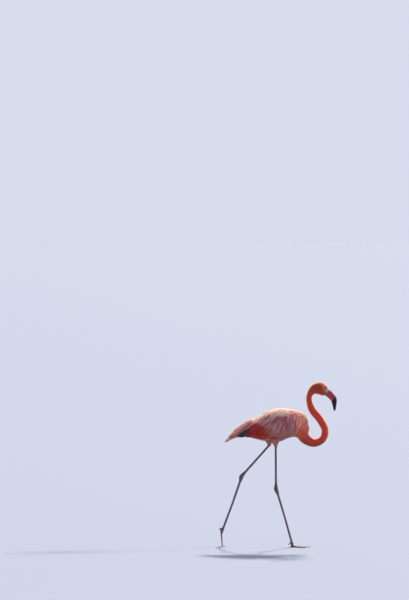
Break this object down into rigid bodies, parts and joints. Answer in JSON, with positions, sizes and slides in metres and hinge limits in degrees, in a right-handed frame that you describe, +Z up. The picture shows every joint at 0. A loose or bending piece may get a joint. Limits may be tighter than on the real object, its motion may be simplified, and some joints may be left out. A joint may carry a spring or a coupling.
{
  "type": "flamingo",
  "caption": "Life-size still model of an American flamingo in mid stride, its long neck in an S and its wings folded, on its front foot and the tip of its trailing toe.",
  "frame": {"origin": "on the floor under the middle of the whole bird's box", "axes": "+Z up and along the bird's height, +X the way it walks and faces, +Y to its own left, the narrowest way"},
  "size_m": [0.6494, 0.1774, 0.9078],
  "materials": {
    "red_plumage": "soft orange-red feathers",
    "body_plumage": "soft pink-red feathers",
    "wing_plumage": "long drooping rose feathers",
    "tail_plumage": "pale salmon feathers",
    "flight_feathers": "black vaned feathers",
    "leg_skin": "grey-mauve scaled skin, pinker at the joints",
    "bill": "satin horn, pale at the root, pink, black from the bend",
    "eye": "wet, pale yellow with a black pupil",
    "claw": "dark horn"
  },
  "bodies": {
    "root": {"head": "red_plumage", "neck_upper": "red_plumage", "neck_middle": "red_plumage", "neck_loop": "red_plumage", "neck_base": "red_plumage", "trunk": "body_plumage", "tail": "tail_plumage", "wing_coverts_right": "wing_plumage", "wing_coverts_left": "wing_plumage", "wing_tertials_right": "tail_plumage", "wing_tertials_left": "tail_plumage", "wing_primaries_right": "flight_feathers", "wing_primaries_left": "flight_feathers", "thigh_right": "body_plumage", "thigh_left": "body_plumage", "shank_right": "leg_skin", "shank_left": "leg_skin", "tarsus_right": "leg_skin", "tarsus_left": "leg_skin", "foot_right": "leg_skin", "foot_left": "leg_skin", "hallux_right": "leg_skin", "hallux_left": "leg_skin", "bill_upper": "bill", "bill_lower": "bill", "eye_right": "eye", "eye_left": "eye", "claw_inner_right": "claw", "claw_middle_right": "claw", "claw_outer_right": "claw", "claw_inner_left": "claw", "claw_middle_left": "claw", "claw_outer_left": "claw"}
  },
  "joints": []
}
